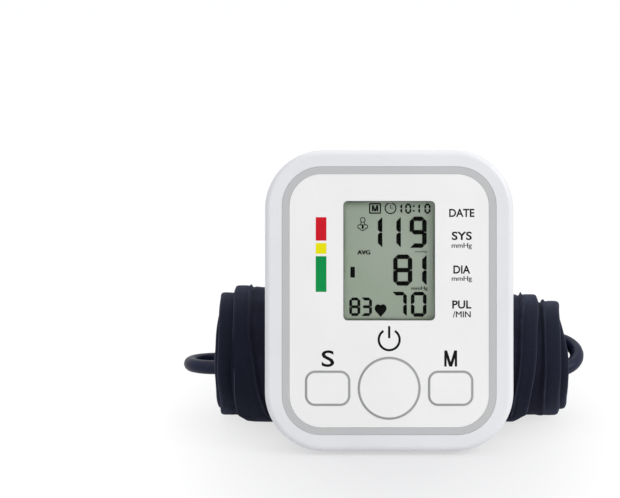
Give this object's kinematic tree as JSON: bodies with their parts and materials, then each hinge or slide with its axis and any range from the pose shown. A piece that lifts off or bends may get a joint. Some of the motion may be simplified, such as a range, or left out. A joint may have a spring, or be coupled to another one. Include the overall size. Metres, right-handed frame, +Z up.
{
  "type": "arm blood pressure monitor",
  "caption": "Arm blood pressure monitor with display, press buttons and battery door, leaning on its rolled cuff with the air hose put away inside.",
  "frame": {"origin": "on the floor under the middle of the housing and rolled cuff, without the hose", "axes": "+Z up, +X along the cuff roll to the right as seen from the display, -Y the side that the display faces"},
  "size_m": [0.1728, 0.0946, 0.1233],
  "materials": {
    "shell_white": "satin moulded plastic",
    "panel_white": "fine matt",
    "ring_grey": "satin grey",
    "window_clear": "clear, polished",
    "display_cell": "grey-green liquid crystal",
    "inner_plastic": "moulded",
    "contact_rubber": "matt rubber",
    "board_green": "solder mask",
    "black_plastic": "moulded",
    "plated_steel": "nickel plated",
    "inner_tube": "silicone",
    "cell_wrap": "plain printed wrap",
    "cuff_fabric": "brushed nylon loop cloth",
    "hook_tape": "hook tape",
    "bladder_rubber": "sheet",
    "hose_navy": "soft tube"
  },
  "bodies": {
    "housing": {"front_shell": "shell_white", "rear_shell": "shell_white", "ring_inlay": "ring_grey", "face_plate": "panel_white", "lcd_window": "window_clear", "lcd_glass": "display_cell", "lcd_frame": "inner_plastic", "zebra_strip_upper": "contact_rubber", "zebra_strip_lower": "contact_rubber", "circuit_board": "board_green", "control_chip": "black_plastic", "usb_socket": "plated_steel", "power_switch": "black_plastic", "set_switch": "black_plastic", "memory_switch": "black_plastic", "pump_motor": "plated_steel", "pump_sleeve": "contact_rubber", "pump_head": "black_plastic", "release_valve": "plated_steel", "air_manifold": "inner_plastic", "pressure_sensor": "black_plastic", "buzzer": "black_plastic", "air_socket": "inner_plastic", "tube_socket": "inner_tube", "tube_valve": "inner_tube", "tube_pump": "inner_tube", "tube_sensor": "inner_tube", "battery_1": "cell_wrap", "battery_2": "cell_wrap", "battery_3": "cell_wrap", "battery_4": "cell_wrap", "contact_plate_left": "plated_steel", "contact_plate_right": "plated_steel", "case_screw_1": "plated_steel", "case_screw_2": "plated_steel", "case_screw_3": "plated_steel", "case_screw_4": "plated_steel", "foot_1": "contact_rubber", "foot_2": "contact_rubber", "foot_3": "contact_rubber", "foot_4": "contact_rubber", "cuff_band": "cuff_fabric", "air_bladder": "bladder_rubber", "hook_patch": "hook_tape", "hose_gland": "hose_navy", "air_hose": "hose_navy", "hose_plug": "hose_navy"},
    "power_button": {"power_button": "panel_white"},
    "set_button": {"set_button": "panel_white"},
    "memory_button": {"memory_button": "panel_white"},
    "battery_door": {"battery_door": "shell_white"}
  },
  "joints": [
    {"name": "power_press", "type": "slide", "parent": "housing", "child": "power_button", "axis": [0, 0.9848, -0.1736], "range_m": [0, 0.0008], "stiffness_N_per_m": 1500},
    {"name": "set_press", "type": "slide", "parent": "housing", "child": "set_button", "axis": [0, 0.9848, -0.1736], "range_m": [0, 0.0008], "stiffness_N_per_m": 1500},
    {"name": "memory_press", "type": "slide", "parent": "housing", "child": "memory_button", "axis": [0, 0.9848, -0.1736], "range_m": [0, 0.0008], "stiffness_N_per_m": 1500},
    {"name": "battery_door_swing", "type": "hinge", "parent": "housing", "child": "battery_door", "pos_m": [-0.0011, 0.00948, 0.10359], "axis": [1, 0, 0], "range_deg": [0, 100]}
  ]
}
